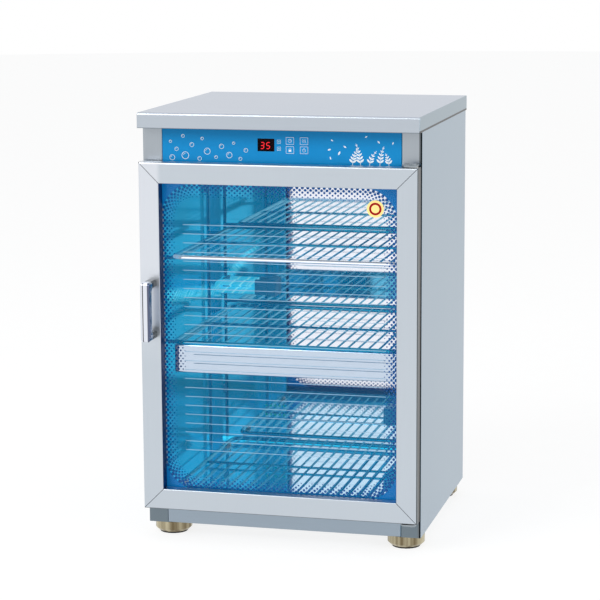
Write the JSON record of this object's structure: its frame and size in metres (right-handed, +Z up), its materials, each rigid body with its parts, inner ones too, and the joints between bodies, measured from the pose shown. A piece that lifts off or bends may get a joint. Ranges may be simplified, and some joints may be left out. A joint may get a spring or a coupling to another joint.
{
  "type": "dish sterilizer cabinet",
  "caption": "Freestanding dish sterilizer cabinet: steel body on feet, hinged glass door, key panel, sliding wire racks and ultraviolet lamps.",
  "frame": {"origin": "on the worktop plane, under the middle of the whole cabinet's outline, at the bottom of the feet's pads", "axes": "+X to the right as seen from the front, +Y from the door to the back, +Z up"},
  "size_m": [0.5026, 0.516, 0.768],
  "materials": {
    "side_steel": "fine brushed stainless steel",
    "polished_steel": "mirror-polished stainless steel",
    "zinc_steel": "plain zinc-plated sheet",
    "plinth_steel": "brushed stainless steel",
    "lid_steel": "fine brushed stainless steel",
    "panel_print": "blue printed front with pale marks",
    "smoked_lens": "dark red-black window",
    "display_black": "black display block",
    "circuit_board": "green board",
    "brass_fitting": "plain brass",
    "black_plastic": "black moulded plastic",
    "led_lens": "clear indicator",
    "ballast_case": "pale painted case",
    "white_plastic": "white moulded plastic",
    "lamp_glass": "lit quartz glass, blue-white",
    "rack_chrome": "chromed wire",
    "foot_rubber": "black rubber",
    "foot_brass": "gold-coloured cup",
    "hinge_steel": "plain stainless steel",
    "frame_steel": "brushed stainless frame",
    "door_glass": "clear glass with a printed dotted border and fine lines",
    "gasket_rubber": "dark rubber",
    "carrier_plastic": "dark plastic strip",
    "magnet_ferrite": "ferrite",
    "handle_chrome": "bright chromed metal",
    "bush_nylon": "nylon",
    "apron_steel": "bright folded steel strip",
    "key_cap": "blue key with a pale mark"
  },
  "bodies": {
    "cabinet": {"left_side_panel": "side_steel", "right_side_panel": "side_steel", "rear_panel": "polished_steel", "bottom_plate": "zinc_steel", "chamber_floor": "polished_steel", "chamber_ceiling": "polished_steel", "front_plinth": "plinth_steel", "top_lid": "lid_steel", "control_fascia": "zinc_steel", "control_overlay": "panel_print", "display_lens": "smoked_lens", "display_module": "display_black", "control_board": "circuit_board", "board_standoffs": "brass_fitting", "tact_switches": "black_plastic", "indicator_leds": "led_lens", "lamp_ballasts": "ballast_case", "terminal_block": "white_plastic", "cable_gland": "black_plastic", "wiring_duct": "polished_steel", "door_switch": "black_plastic", "upper_uv_lamp": "lamp_glass", "lower_uv_lamp": "lamp_glass", "lamp_bases": "white_plastic", "lamp_sockets": "white_plastic", "lamp_clips": "zinc_steel", "left_rack_ladder": "rack_chrome", "right_rack_ladder": "rack_chrome", "ladder_clips": "white_plastic", "foot_pads": "foot_rubber", "feet": "foot_brass", "top_hinge_bracket": "hinge_steel", "bottom_hinge_bracket": "hinge_steel", "hinge_pins": "hinge_steel"},
    "door": {"door_left_stile": "frame_steel", "door_right_stile": "frame_steel", "door_top_rail": "frame_steel", "door_bottom_rail": "frame_steel", "door_corner_keys": "black_plastic", "door_glass": "door_glass", "door_gasket": "gasket_rubber", "door_magnet": "magnet_ferrite", "door_handle": "handle_chrome", "glazing_seal": "gasket_rubber", "gasket_carrier": "carrier_plastic", "hinge_bushes": "bush_nylon"},
    "upper_rack": {"upper_rack": "rack_chrome"},
    "middle_rack": {"middle_rack": "rack_chrome", "middle_rack_apron": "apron_steel"},
    "lower_rack": {"lower_rack": "rack_chrome", "lower_rack_feet": "white_plastic"},
    "timer_key": {"timer_key": "key_cap"},
    "mode_key": {"mode_key": "key_cap"},
    "lock_key": {"lock_key": "key_cap"},
    "power_key": {"power_key": "key_cap"}
  },
  "joints": [
    {"name": "door_hinge", "type": "hinge", "parent": "cabinet", "child": "door", "pos_m": [0.238, -0.2005, 0.37], "axis": [0, 0, 1], "range_deg": [0, 115]},
    {"name": "upper_rack_slide", "type": "slide", "parent": "cabinet", "child": "upper_rack", "axis": [0, -1, 0], "range_m": [0, 0.024]},
    {"name": "middle_rack_slide", "type": "slide", "parent": "cabinet", "child": "middle_rack", "axis": [0, -1, 0], "range_m": [0, 0.024]},
    {"name": "lower_rack_slide", "type": "slide", "parent": "cabinet", "child": "lower_rack", "axis": [0, -1, 0], "range_m": [0, 0.024]},
    {"name": "timer_key_press", "type": "slide", "parent": "cabinet", "child": "timer_key", "axis": [0, 1, 0], "range_m": [0, 0.0005], "stiffness_N_per_m": 1000, "springref_m": -0.0005},
    {"name": "mode_key_press", "type": "slide", "parent": "cabinet", "child": "mode_key", "axis": [0, 1, 0], "range_m": [0, 0.0005], "stiffness_N_per_m": 1000, "springref_m": -0.0005},
    {"name": "lock_key_press", "type": "slide", "parent": "cabinet", "child": "lock_key", "axis": [0, 1, 0], "range_m": [0, 0.0005], "stiffness_N_per_m": 1000, "springref_m": -0.0005},
    {"name": "power_key_press", "type": "slide", "parent": "cabinet", "child": "power_key", "axis": [0, 1, 0], "range_m": [0, 0.0005], "stiffness_N_per_m": 1000, "springref_m": -0.0005}
  ]
}
